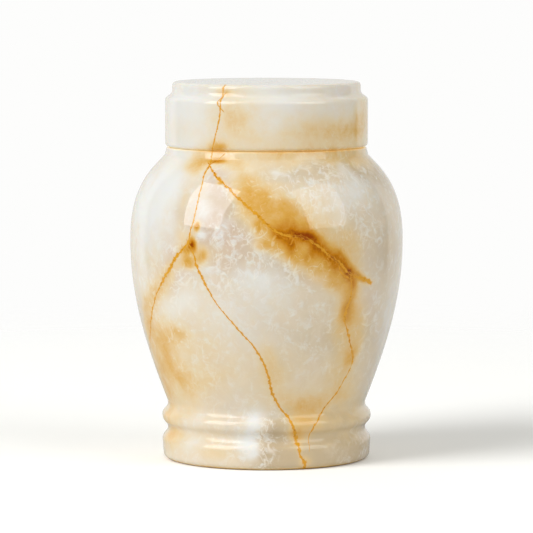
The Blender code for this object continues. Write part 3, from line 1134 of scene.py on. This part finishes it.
CLOUDS = (
    # Iron stain on the lid and the collar
    Cloud(HONEY, -19, 238, 16, 20, 0, 0.18),
    Cloud(HONEY, 20, 230, 80, 24, 0, 0.07),
    Cloud(HONEY, 4, 232, 18, 16, 0, -0.06),
    Cloud(HONEY, -26, 255, 8, 3, 0, 0.22),
    Cloud(HONEY, -5, 226, 30, 10, 0, 0.04),
    Cloud(HONEY, 36, 228, 50, 18, 0, 0.22),
    Cloud(HONEY, 74, 236, 30, 22, 0, 0.17),
    Cloud(HONEY, -60, 226, 20, 10, 0, 0.08),
    Cloud(HONEY, 61, 234, 16, 3, 90, 0.05),
    Cloud(HONEY, 16, 212, 60, 6, 0, 0.20),
    Cloud(HONEY, 60, 206, 26, 8, 0, 0.14),
    Cloud(HONEY, 8, 205, 16, 5, 0, 0.10),
    Cloud(HONEY, -52, 206, 22, 8, 0, 0.13),
    Cloud(HONEY, -28, 218, 7, 4, 0, 0.40),
    Cloud(HONEY, -38, 206, 9, 10, 0, 0.30),
    Cloud(HONEY, -28, 209, 6, 2, 0, 0.50),
    Cloud(HONEY, -20, 208, 20, 6, -20, 0.14),
    # Iron stain on the shoulder, above and left of the right vein
    # Less honey under the key softbox's reflection on the left shoulder, so that it reads whiter: partly
    # painted highlight.
    Cloud(HONEY, -24, 182, 12, 16, 0, -0.24),
    Cloud(HONEY, -22, 195, 3, 2, 0, 0.50),
    Cloud(HONEY, -8, 191, 18, 12, -40, 0.34),
    Cloud(HONEY, 5, 176, 18, 12, -30, 0.08),
    Cloud(HONEY, 18, 174, 26, 18, -20, 0.17),
    Cloud(HONEY, 36, 160, 26, 22, -20, 0.04),
    # The dark amber along the right vein, with the lobes below it
    Cloud(HONEY, 10, 164, 11, 7, 0, 0.36),
    Cloud(HONEY, 15, 157, 36, 13, -36, 0.18),
    Cloud(HONEY, 15, 161, 7, 3, -10, 0.46),
    Cloud(HONEY, 5, 161, 8, 4, -40, 0.34),
    Cloud(HONEY, 20, 159, 8, 4, -50, 0.22),
    Cloud(HONEY, 10, 155, 7, 4, 80, 0.32),
    Cloud(HONEY, 19, 151, 7, 4, 75, 0.30),
    Cloud(HONEY, 25, 149, 12, 4.5, -52, 0.42),
    Cloud(HONEY, 33, 141, 11, 4, -58, 0.40),
    Cloud(HONEY, 28, 139, 8, 5, 80, 0.20),
    Cloud(HONEY, 37, 133, 6, 5, 0, 0.34),
    Cloud(HONEY, 44, 130, 8, 2.5, -25, 0.40),
    Cloud(HONEY, 39, 126, 5, 3, 80, 0.26),
    Cloud(HONEY, 37, 150, 18, 12, -30, 0.14),
    Cloud(HONEY, 36, 119, 20, 9, 85, 0.16),
    Cloud(HONEY, 41, 96, 24, 14, 90, 0.12),
    Cloud(HONEY, 40, 60, 22, 20, 0, 0.14),
    Cloud(HONEY, 14, 147, 28, 10, -18, 0.31),
    Cloud(HONEY, 28, 128, 18, 8, -20, 0.13),
    Cloud(HONEY, 10, 176, 24, 14, -30, 0.10),
    Cloud(HONEY, 4, 188, 22, 12, -20, 0.05),
    Cloud(HONEY, -8, 176, 14, 10, -30, 0.12),
    Cloud(HONEY, -3, 166, 7, 4, 70, 0.32),
    Cloud(HONEY, 0, 153, 9, 6, 0, 0.30),
    # Round the left vein
    Cloud(HONEY, -30, 167, 4, 2.5, 70, 0.70),
    Cloud(HONEY, -32, 154, 5, 2.8, 95, 0.85),
    Cloud(HONEY, -35, 150, 5, 4, 0, 0.38),
    Cloud(HONEY, -26, 147, 14, 9, 0, 0.16),
    Cloud(HONEY, -16, 152, 16, 8, 0, 0.06),
    Cloud(HONEY, -34, 141, 6, 5, 0, 0.42),
    Cloud(HONEY, -28, 146, 6, 4, 80, 0.32),
    Cloud(HONEY, -38, 160, 9, 9, 0, 0.20),
    Cloud(HONEY, -38, 184, 14, 5, 85, 0.16),
    Cloud(HONEY, -44, 134, 16, 6, 50, 0.22),
    Cloud(HONEY, -56, 143, 12, 10, 0, 0.12),
    Cloud(HONEY, -56, 118, 20, 10, 40, 0.22),
    Cloud(HONEY, -68, 100, 18, 10, 60, 0.22),
    Cloud(HONEY, -48, 150, 12, 16, 50, 0.04),
    # The lower left
    Cloud(HONEY, -60, 68, 36, 34, 0, 0.28),
    Cloud(HONEY, -50, 92, 16, 12, 40, 0.08),
    Cloud(HONEY, -56, 78, 14, 7, 85, 0.12),
    Cloud(HONEY, -60, 88, 8, 8, 0, 0.08),
    Cloud(HONEY, -72, 60, 14, 30, 0, 0.12),
    Cloud(HONEY, -43, 92, 7, 6, 0, 0.14),
    Cloud(HONEY, -51, 64, 14, 9, 0, 0.08),
    Cloud(HONEY, -34, 62, 24, 14, 0, 0.04),
    Cloud(HONEY, -62, 44, 30, 16, 0, 0.05),
    Cloud(HONEY, -25, 72, 30, 26, 0, 0.14),
    Cloud(HONEY, -30, 24, 16, 4, 0, 0.06),
    Cloud(HONEY, -72, 18, 20, 12, 0, 0.26),
    Cloud(HONEY, -30, 10, 18, 6, 0, 0.16),
    # Round the middle and far veins, down to the foot
    Cloud(HONEY, 2, 75, 20, 8, -75, 0.16),
    Cloud(HONEY, 8, 60, 20, 24, 0, 0.12),
    Cloud(HONEY, 15, 45, 26, 9, 0, 0.17),
    Cloud(HONEY, 22, 36, 14, 8, 0, 0.20),
    Cloud(HONEY, 17, 24, 9, 6, 0, 0.30),
    Cloud(HONEY, 26, 29, 12, 7, 0, 0.12),
    Cloud(HONEY, 13, 9, 15, 8, 0, 0.08),
    Cloud(HONEY, 30, 12, 26, 12, 0, 0.05),
    Cloud(HONEY, 40, 50, 22, 12, 0, 0.08),
    Cloud(HONEY, 22, 5, 5, 5, 0, 0.20),
    Cloud(HONEY, 37, 108, 10, 5, 90, 0.30),
    Cloud(HONEY, 40, 100, 30, 18, 90, 0.19),
    Cloud(HONEY, 30, 128, 18, 8, 0, 0.12),
    Cloud(HONEY, 45, 76, 8, 6, 90, 0.24),
    Cloud(HONEY, 58, 32, 30, 16, 0, 0.22),
    # White crystals
    Cloud(MILK, -62, 178, 30, 34, 0, 0.65),
    Cloud(MILK, -55, 196, 20, 16, 0, 0.50),
    Cloud(MILK, -66, 120, 16, 10, 0, 0.25),
    Cloud(MILK, 46, 188, 18, 16, 0, 0.20),
    Cloud(MILK, -28, 161, 4, 3, 0, 0.80),
    # White under the key softbox's reflection on the left shoulder: partly painted highlight, partly the
    # stone's own white.
    Cloud(MILK, -28, 181, 9, 11, 0, 0.34),
    Cloud(MILK, -62, 140, 12, 14, 0, 0.30),
    Cloud(MILK, -18, 165, 10, 6, 60, 0.35),
    Cloud(MILK, -48, 108, 9, 8, 0, 0.65),
    Cloud(MILK, -37, 116, 13, 7, 20, 0.50),
    Cloud(MILK, -51, 95, 5, 4, 0, 0.50),
    Cloud(MILK, -44, 77, 9, 6, 60, 0.35),
    Cloud(MILK, -25, 137, 8, 4, 0, 0.45),
    Cloud(MILK, -8, 132, 16, 8, 0, 0.35),
    Cloud(MILK, 4, 122, 26, 14, 0, 0.32),
    Cloud(MILK, -4, 92, 24, 14, 0, 0.20),
    Cloud(MILK, -20, 108, 16, 12, 0, 0.25),
    Cloud(MILK, -9, 204, 3, 3, 0, 0.80),
    Cloud(MILK, 4, 202, 4, 3, 0, 0.60),
    Cloud(MILK, 34, 178, 8, 14, 0, 0.35),
    Cloud(MILK, 41, 203, 6, 6, 0, 0.60),
    Cloud(MILK, 46, 190, 12, 14, 0, 0.45),
    Cloud(MILK, -8, 13, 7, 8, 0, 0.90),
    Cloud(MILK, -14, 18, 6, 8, 70, 0.50),
    Cloud(MILK, -7, 32, 9, 7, 60, 0.80),
    Cloud(MILK, 2, 12, 5, 6, 0, 0.35),
    Cloud(MILK, 6, 36, 8, 6, 0, 0.35),
    Cloud(MILK, -45, 15, 11, 8, 0, 0.60),
    Cloud(MILK, -42, 33, 10, 6, 0, 0.40),
    Cloud(MILK, 36, 11, 12, 8, 0, 0.45),
    Cloud(MILK, -55, 236, 26, 26, 0, 0.70),
    Cloud(MILK, -2, 240, 12, 7, 90, 0.45),
    Cloud(MILK, 0, 253, 14, 8, 0, 0.40),
    Cloud(MILK, 0, 248, 60, 8, 0, 0.25),
    Cloud(MILK, -10, 234, 70, 22, 0, 0.35),
    Cloud(MILK, 0, 325, 70, 70, 0, 0.45),
    Cloud(MILK, 74, 110, 14, 60, 0, 0.35),
    Cloud(MILK, 18, 8, 18, 10, 0, -0.80),
    Cloud(MILK, 24, 30, 18, 7, 0, -0.40),
    Cloud(MILK, 26, 12, 40, 16, 0, -0.25),
    # Clear grey-beige stone
    Cloud(MIST, -18, 150, 22, 18, 0, 0.30),
    Cloud(MIST, -22, 178, 18, 22, 0, 0.28),
    Cloud(MIST, -11, 176, 7, 15, -10, 0.45),
    Cloud(MIST, -24, 159, 14, 5, 0, 0.40),
    Cloud(MIST, -40, 178, 6, 18, 0, 0.30),
    Cloud(MIST, 40, 100, 20, 28, 0, 0.62),
    Cloud(MIST, 30, 206, 80, 11, 0, 0.50),
    Cloud(MIST, 28, 160, 24, 22, 0, 0.42),
    Cloud(MIST, 10, 148, 32, 16, -20, 0.62),
    Cloud(MIST, 10, 172, 22, 14, -20, 0.30),
    Cloud(MIST, 64, 156, 24, 60, 0, 0.28),
    Cloud(MIST, 62, 205, 28, 12, 0, 0.70),
    Cloud(MIST, 62, 60, 20, 30, 0, 0.20),
    Cloud(MIST, 4, 86, 24, 14, 0, -0.14),
    Cloud(MIST, 10, 120, 40, 30, 0, 0.06),
    Cloud(MIST, 40, 62, 14, 16, 0, 0.25),
    Cloud(MIST, 20, 85, 28, 26, 0, 0.20),
    # Darker grey-beige low on the right of the base, the side away from the key light: painted shade.
    Cloud(MIST, 42, 14, 50, 26, 0, 0.75),
    Cloud(MIST, 14, 9, 18, 9, 0, 1.50),
    Cloud(MIST, 20, 32, 18, 8, 0, 0.40),
    Cloud(MIST, 22, 32, 22, 8, 0, 0.80),
    Cloud(MIST, -80, 76, 16, 28, 0, 0.40),
    Cloud(MIST, 10, 236, 80, 22, 0, -0.50),
    # Pink
    Cloud(ROSE, 36, 154, 22, 18, 0, 0.30),
    Cloud(ROSE, 14, 12, 12, 8, 0, 0.10),
    Cloud(ROSE, -22, 182, 14, 20, 0, 0.35),
    Cloud(ROSE, -24, 200, 8, 7, 0, 0.50),
    Cloud(ROSE, -41, 160, 12, 18, 0, 0.40),
    Cloud(ROSE, -17, 155, 24, 22, 0, 0.60),
    Cloud(ROSE, -42, 134, 28, 13, 60, 0.65),
    Cloud(ROSE, 18, 10, 24, 14, 0, -0.10),
    Cloud(ROSE, 14, 140, 26, 8, -30, 0.40),
    Cloud(ROSE, -76, 76, 12, 26, 0, 0.60),
    Cloud(ROSE, -66, 100, 14, 14, 0, 0.50),
    Cloud(ROSE, 38, 118, 20, 12, 90, 0.60),
    Cloud(ROSE, 25, 130, 14, 6, 0, 0.35),
    Cloud(ROSE, 50, 110, 12, 14, 0, 0.40),
    # Threads of crystals
    Cloud(WISP, 10, 172, 16, 12, -20, -0.35),
    Cloud(WISP, 18, 9, 18, 10, 0, -0.90),
    Cloud(WISP, 24, 30, 14, 8, 0, -0.60),
    Cloud(WISP, -46, 136, 24, 20, 50, 0.45),
    Cloud(WISP, -14, 150, 28, 24, 0, 0.55),
    Cloud(WISP, -26, 180, 12, 16, 0, -0.20),
    Cloud(WISP, -12, 180, 12, 12, 0, 0.15),
    Cloud(WISP, 8, 192, 24, 18, 0, 0.55),
    Cloud(WISP, 14, 142, 30, 14, -20, 0.70),
    Cloud(WISP, -2, 152, 20, 14, 0, 0.40),
    Cloud(WISP, 24, 198, 24, 12, 0, 0.40),
    Cloud(WISP, 64, 150, 20, 50, 0, -0.15),
    Cloud(WISP, 42, 180, 20, 30, 0, 0.60),
    Cloud(WISP, -50, 108, 20, 22, 0, 0.55),
    Cloud(WISP, -38, 72, 18, 22, 0, 0.45),
    Cloud(WISP, 0, 18, 20, 16, 0, 0.80),
    # The hearts of the veins
    Cloud(BURN, 14, 161, 12, 4, -10, 1.00),
    Cloud(BURN, 28, 145, 9, 4, -50, 0.85),
    Cloud(BURN, 37, 133, 6, 4, 0, 0.80),
    # The back, which the photograph doesn't show
    Cloud(HONEY, 138, 186, 24, 14, 70, 0.34),
    Cloud(HONEY, 133, 158, 26, 12, 70, 0.40),
    Cloud(HONEY, 132, 154, 7, 5, 0, 0.45),
    Cloud(HONEY, 150, 136, 26, 9, -40, 0.26),
    Cloud(HONEY, 124, 112, 30, 12, 75, 0.28),
    Cloud(HONEY, 112, 64, 30, 22, 0, 0.26),
    Cloud(HONEY, -128, 142, 34, 18, 40, 0.30),
    Cloud(HONEY, -150, 62, 44, 24, 10, 0.26),
    Cloud(HONEY, 176, 104, 26, 22, 0, 0.18),
    Cloud(HONEY, 156, 236, 40, 16, 0, 0.26),
    Cloud(HONEY, -110, 234, 34, 14, 0, 0.24),
    Cloud(HONEY, 150, 20, 40, 16, 0, 0.18),
    Cloud(MILK, 108, 182, 26, 24, 0, 0.50),
    Cloud(MILK, -112, 74, 24, 32, 0, 0.50),
    Cloud(MILK, 168, 70, 26, 20, 0, 0.55),
    Cloud(MILK, -168, 170, 34, 28, 0, 0.55),
    Cloud(MILK, -150, 232, 30, 16, 0, 0.40),
    Cloud(MIST, 144, 112, 28, 30, 0, 0.25),
    Cloud(MIST, -140, 104, 26, 26, 0, 0.25),
    Cloud(ROSE, -100, 110, 18, 24, 0, 0.40),
    Cloud(ROSE, 165, 142, 18, 18, 0, 0.40),
    Cloud(WISP, 160, 160, 30, 34, 0, 0.60),
    Cloud(WISP, -136, 96, 30, 34, 0, 0.60),
)

VEINS = (
    Vein("lid", 0, 0.10, (
        (20, 306, 0.3), (-8, 288, 0.5), (-22, 270, 0.5), (-26.5, 258, 0.6), (-26.7, 251, 0.6),
        (-26.4, 243, 0.5), (-27.3, 236, 0.6), (-29, 228, 0.5), (-30.8, 220, 0.5), (-32, 214, 0.6),
        (-32, 209.5, 0.7))),
    Vein("collar to lower left", 0, 0.36, (
        (-32, 209.5, 0.7), (-31.2, 205.6, 0.8), (-32, 200, 0.6), (-31, 194, 0.5), (-31, 189, 0.5),
        (-31.1, 178, 0.5), (-32, 169, 0.6), (-33.2, 162, 0.6), (-34, 155, 0.7), (-37.6, 149, 0.9),
        (-41.3, 143, 1.2), (-43.5, 138, 1.3), (-47.5, 130.5, 1.2), (-51.5, 123, 0.9), (-54, 119, 0.5),
        (-56.2, 114.5, 1.0), (-57.5, 111, 0.4), (-60, 107, 0.9), (-62, 102, 1.0), (-65, 97, 0.8),
        (-67, 92, 0.9), (-74.5, 81, 0.4), (-84, 70, 0.3), (-92, 62, 0.5), (-100, 50, 0.5),
        (-110, 44, 0.3), (-118, 36, 0.4))),
    Vein("far right", 0, 0.42, (
        (37.4, 131, 0.5), (38, 126, 0.7), (38.2, 121, 0.6), (38, 116, 0.8), (37, 112, 1.2),
        (36.3, 107, 1.2), (36.4, 102, 1.3), (37.3, 99, 0.2), (38.5, 96, 1.0), (40, 91.5, 1.1),
        (42.5, 84.5, 0.6), (44, 81, 1.1), (46, 76, 1.0), (46.6, 72, 0.9), (46.3, 69, 0.1),
        (45.7, 65.3, 0.8), (45, 63, 0.2), (44.2, 61.5, 0.8), (43, 57.5, 0.5), (41, 51.5, 0.8),
        (38, 46.5, 0.6), (34.5, 41, 0.6), (33.2, 38, 0.7), (29.2, 33, 0.6), (26, 28.5, 0.8),
        (24.7, 22, 0.3), (24, 16, 0.2))),
    Vein("middle", 1, 0.34, (
        (-33.5, 154, 0.3), (-32.2, 150.6, 0.3), (-30.5, 144, 0.8), (-30, 140, 1.1), (-28, 134, 1.0),
        (-26, 127, 0.8), (-24.5, 123, 0.7), (-23, 118, 0.5), (-20.3, 112, 0.4), (-17.2, 106, 0.5),
        (-14.5, 101, 0.7), (-10, 93, 0.7), (-7, 88, 0.5), (-4.8, 83.4, 0.7), (-2, 76, 0.9),
        (-0.2, 70, 0.9), (1.2, 64, 0.9), (2.7, 54.6, 1.1), (4, 49.6, 0.9), (8, 41.7, 0.8),
        (10, 39, 0.7), (12.4, 35.5, 1.0), (14.4, 29.7, 1.0), (16.5, 23, 1.4), (17.5, 17, 1.2),
        (18.5, 10, 0.9), (21, 5, 1.3), (21.5, 1.5, 1.1), (22, -8, 0.7), (30, -20, 0.4))),
    Vein("right", 2, 0.45, (
        (-31.2, 206, 0.4), (-27.5, 202, 0.7), (-24.2, 198.5, 1.1), (-20, 194.4, 1.1), (-16.7, 191.3, 1.1),
        (-14, 187.5, 1.0), (-9.7, 182.4, 1.1), (-4.4, 175.3, 1.2), (-1, 170.4, 1.1), (2.3, 165.5, 1.0),
        (5.5, 162.5, 0.9), (8.8, 161, 0.9), (13, 160.3, 1.0), (16.3, 159, 1.0), (19.6, 155.7, 0.9),
        (22.8, 152, 0.8), (26.4, 147.3, 0.8), (29, 144, 1.0), (32.5, 140.3, 0.8), (35.5, 135, 0.8),
        (38, 133, 0.9), (41, 131.3, 1.1), (45, 129.5, 1.4), (48, 127.5, 1.5))),
    Vein("loop below the right vein", 1, 0.30, (
        (31.3, 140, 0.4), (31.8, 136, 0.4), (34, 133, 0.6), (36.5, 131, 0.5))),
    Vein("stub below the collar", 1, 0.60, (
        (-26, 211.5, 0.3), (-28.5, 209, 0.8), (-30.5, 207.2, 0.8), (-31.2, 205.8, 0.4))),
    Vein("loop on the lid", 1, 0.30, (
        (-26.7, 251.5, 0.3), (-27.9, 249.3, 0.5), (-27.9, 246.6, 0.5), (-26.4, 244.6, 0.3))),
    Vein("back", 1, 0.45, (
        (160, 296, 0.3), (150, 278, 0.4), (146, 262, 0.6), (148, 250, 0.6), (143, 236, 0.7),
        (146, 220, 0.5), (144, 205, 0.6), (138, 190, 0.7), (140, 172, 0.8), (131, 155, 0.8),
        (127, 138, 0.6), (129, 120, 0.7), (120, 100, 0.6), (116, 84, 0.7), (119, 66, 0.5),
        (112, 48, 0.7), (108, 36, 0.6), (110, 22, 0.6), (107, 6, 0.5))),
    Vein("branch at the back", 2, 0.35, (
        (131, 155, 0.4), (142, 146, 0.6), (150, 134, 0.7), (161, 126, 0.6), (168, 112, 0.5),
        (180, 104, 0.4), (188, 92, 0.3))),
)


@dataclass(frozen=True)
class MattPaper:
    """White background paper, matt, on a table that is lit from below and runs out into white light.

    The light from below keeps the paper white right up to the urn's soft shadow.

    Attributes:
        colour: the paper as it is seen.
        bounce: the paper as it lights the urn, a shade darker, as a sheet of this size bounces less.
        glow: how bright the light from below is.
        fade_start: the distance from the urn where the paper begins to run out, in metres.
        fade_end: where it has run out, in metres.
    """

    colour: str = "F4F4F2"
    bounce: str = "CCCCCA"
    glow: float = 0.07
    fade_start: float = 0.35
    fade_end: float = 1.1

    def material(self) -> bpy.types.Material:
        """Makes the paper's material.

        Returns:
            The material, clear beyond the fade's end.
        """
        material = bpy.data.materials.new("matt_paper")
        material.use_nodes = True
        tree = material.node_tree
        tree.nodes.clear()
        place = add_node(tree, "ShaderNodeTexCoord")
        distance = add_node(tree, "ShaderNodeVectorMath", {"operation": "LENGTH"}, {
            0: place.outputs["Object"]})
        fade = add_node(tree, "ShaderNodeMapRange", {"interpolation_type": "SMOOTHSTEP"}, {
            "Value": distance.outputs["Value"], "From Min": self.fade_start, "From Max": self.fade_end})
        ray = add_node(tree, "ShaderNodeLightPath")
        sheet = add_node(tree, "ShaderNodeMix", {"data_type": "RGBA"}, {
            0: ray.outputs["Is Camera Ray"],
            6: (*linear(self.bounce), 1.0), 7: (*linear(self.colour), 1.0)})
        paper = add_node(tree, "ShaderNodeBsdfDiffuse", {}, {"Color": sheet.outputs[2]})
        seen = add_node(tree, "ShaderNodeMath", {"operation": "MULTIPLY"}, {
            0: ray.outputs["Is Camera Ray"], 1: self.glow})
        below = add_node(tree, "ShaderNodeEmission", {}, {
            "Color": (*linear(self.colour), 1.0), "Strength": seen.outputs[0]})
        lit = add_node(tree, "ShaderNodeAddShader", {}, {
            0: paper.outputs["BSDF"], 1: below.outputs["Emission"]})
        clear = add_node(tree, "ShaderNodeBsdfTransparent")
        mixed = add_node(tree, "ShaderNodeMixShader", {}, {
            "Fac": fade.outputs["Result"], 1: lit.outputs["Shader"], 2: clear.outputs["BSDF"]})
        add_node(tree, "ShaderNodeOutputMaterial", {}, {"Surface": mixed.outputs["Shader"]})
        return material


@dataclass(frozen=True)
class Softbox:
    """A rectangular soft light that faces the urn.

    Attributes:
        name: the light's name.
        azimuth: degrees round from the camera, positive to the right.
        elevation: degrees above level.
        distance: from the urn, in metres.
        width: in metres.
        height: in metres.
        radiance: how bright its face is, where 1 is white.
        tint: its colour.
        floor_only: whether it lights the floor alone, around the urn's shadow.
    """

    name: str
    azimuth: float
    elevation: float
    distance: float
    width: float
    height: float
    radiance: float
    tint: str = "FFFFFF"
    floor_only: bool = False

    def hang(self, target: Vector, floor: bpy.types.Collection) -> None:
        """Hangs the light.

        Args:
            target: what it faces.
            floor: the collection that holds the floor.
        """
        around, up = math.radians(self.azimuth), math.radians(self.elevation)
        away = Vector((math.sin(around) * math.cos(up), -math.cos(around) * math.cos(up), math.sin(up)))
        light = bpy.data.lights.new(self.name, "AREA")
        light.shape = "RECTANGLE"
        light.size, light.size_y = self.width, self.height
        light.energy = self.radiance * math.pi * self.width * self.height
        light.color = linear(self.tint)
        lamp = bpy.data.objects.new(self.name, light)
        lamp.location = target + away * self.distance
        lamp.rotation_euler = away.to_track_quat("Z", "Y").to_euler()
        lamp.visible_camera = False
        if self.floor_only:
            lamp.light_linking.receiver_collection = floor
        bpy.context.scene.collection.objects.link(lamp)


@dataclass
class Studio:
    """The pale floor, the soft light and the camera.

    Attributes:
        camera_distance: from the urn's axis, in metres.
        camera_height: above the floor, in metres.
        camera_pitch: how far it looks down, in degrees.
        lens: in millimetres, on a sensor 36 mm wide.
        target_height: what the lights aim at, in metres.
        floor_radius: in metres.
        floor_gap: how far the floor lies below the urn, in metres.
    """

    camera_distance: float = 2.5468
    camera_height: float = 0.3616
    camera_pitch: float = 5.15
    lens: float = 250.0
    target_height: float = 0.13
    floor_radius: float = 3.0
    floor_gap: float = 0.1 * MM

    def place_camera(self) -> None:
        """Sets the camera where the photograph was taken from."""
        data = bpy.data.cameras.new("camera")
        data.lens = self.lens
        camera = bpy.data.objects.new("camera", data)
        camera.location = (0.0, -self.camera_distance, self.camera_height)
        camera.rotation_euler = (math.radians(90 - self.camera_pitch), 0.0, 0.0)
        bpy.context.scene.collection.objects.link(camera)
        bpy.context.scene.camera = camera

    def lay_floor(self, paper: bpy.types.Material) -> bpy.types.Collection:
        """Lays the round sheet that the urn stands on.

        Args:
            paper: its material.

        Returns:
            The collection that holds it.
        """
        corners = 96
        mesh = bpy.data.meshes.new("floor")
        ring = [math.tau * place / corners for place in range(corners)]
        rim = [(self.floor_radius * math.cos(a), self.floor_radius * math.sin(a), 0.0) for a in ring]
        mesh.from_pydata(rim, [], [tuple(range(corners))])
        mesh.materials.append(paper)
        floor = bpy.data.objects.new("floor", mesh)
        floor.location.z = -self.floor_gap
        ground = bpy.data.collections.new("ground")
        bpy.context.scene.collection.children.link(ground)
        ground.objects.link(floor)
        return ground

    def light(self, lamps: Sequence[Softbox], floor: bpy.types.Collection) -> None:
        """Hangs the softboxes and sets the light of the room.

        Args:
            lamps: the softboxes.
            floor: the collection that holds the floor.
        """
        for lamp in lamps:
            lamp.hang(Vector((0.0, 0.0, self.target_height)), floor)
        room_front, room_mirrored, room_back, backdrop = "A7A7A4", "585856", "E4E4E1", "FDFDFC"
        edge_start, edge_end = 0.54, 0.60
        world = bpy.data.worlds.new("studio")
        world.use_nodes = True
        tree = world.node_tree
        tree.nodes.clear()
        place = add_node(tree, "ShaderNodeTexCoord")
        split = add_node(tree, "ShaderNodeSeparateXYZ", {}, {0: place.outputs["Generated"]})
        share = add_node(tree, "ShaderNodeMapRange", {"interpolation_type": "SMOOTHSTEP"}, {
            "Value": split.outputs["Y"], "From Min": edge_start, "From Max": edge_end})
        ray = add_node(tree, "ShaderNodeLightPath")
        front = add_node(tree, "ShaderNodeMix", {"data_type": "RGBA"}, {
            0: ray.outputs["Is Glossy Ray"],
            6: (*linear(room_front), 1.0), 7: (*linear(room_mirrored), 1.0)})
        room = add_node(tree, "ShaderNodeMix", {"data_type": "RGBA"}, {
            0: share.outputs["Result"], 6: front.outputs[2], 7: (*linear(room_back), 1.0)})
        seen = add_node(tree, "ShaderNodeMix", {"data_type": "RGBA"}, {
            0: ray.outputs["Is Camera Ray"], 6: room.outputs[2], 7: (*linear(backdrop), 1.0)})
        glow = add_node(tree, "ShaderNodeBackground", {}, {"Color": seen.outputs[2]})
        add_node(tree, "ShaderNodeOutputWorld", {}, {"Surface": glow.outputs["Background"]})
        bpy.context.scene.world = world
        bpy.context.scene.view_settings.view_transform = "Standard"


def outline_of(vessel: Vessel, lid: CapLid) -> tuple[Point, ...]:
    """The urn's outer side as one line from foot to top, with each height once.

    Args:
        vessel: the vessel.
        lid: the lid on it.

    Returns:
        (radius, height) points, in metres.
    """
    rising: list[Point] = []
    for point in vessel.outside() + lid.outside()[::-1]:
        while rising and point[1] <= rising[-1][1]:
            rising.pop()
        rising.append(point)
    return tuple(rising)


def main() -> None:
    """Builds the urn and its studio, and reports each piece."""
    logging.basicConfig(level=logging.INFO, format="%(name)s: %(message)s")
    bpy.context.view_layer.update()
    vessel = Vessel("onyx_vessel", "urn_body", "vessel_onyx")
    lid = CapLid("onyx_lid", "urn_lid", "lid_onyx")
    block = OnyxBlock(outline_of(vessel, lid), CLOUDS, VEINS, GROUND)
    stone = PolishedOnyx()
    for turned in (vessel, lid):
        piece = turned.build()
        block.mark(piece)
        turned.dress(piece, stone.material(f"polished_{piece.name}"))
        LOG.info("%s: %d faces", piece.name, len(piece.data.polygons))
    studio = Studio()
    studio.place_camera()
    floor = studio.lay_floor(MattPaper().material())
    studio.light((
        Softbox("key_softbox", -57.0, 31.0, 8.0, 5.3, 6.7, 3.85),
        Softbox("fill_softbox", 54.0, 31.0, 8.0, 5.3, 6.7, 2.0),
        Softbox("floor_softbox", -57.0, 31.0, 8.0, 3.2, 4.0, 6.7, floor_only=True),
    ), floor)


if __name__ == "__main__":
    main()
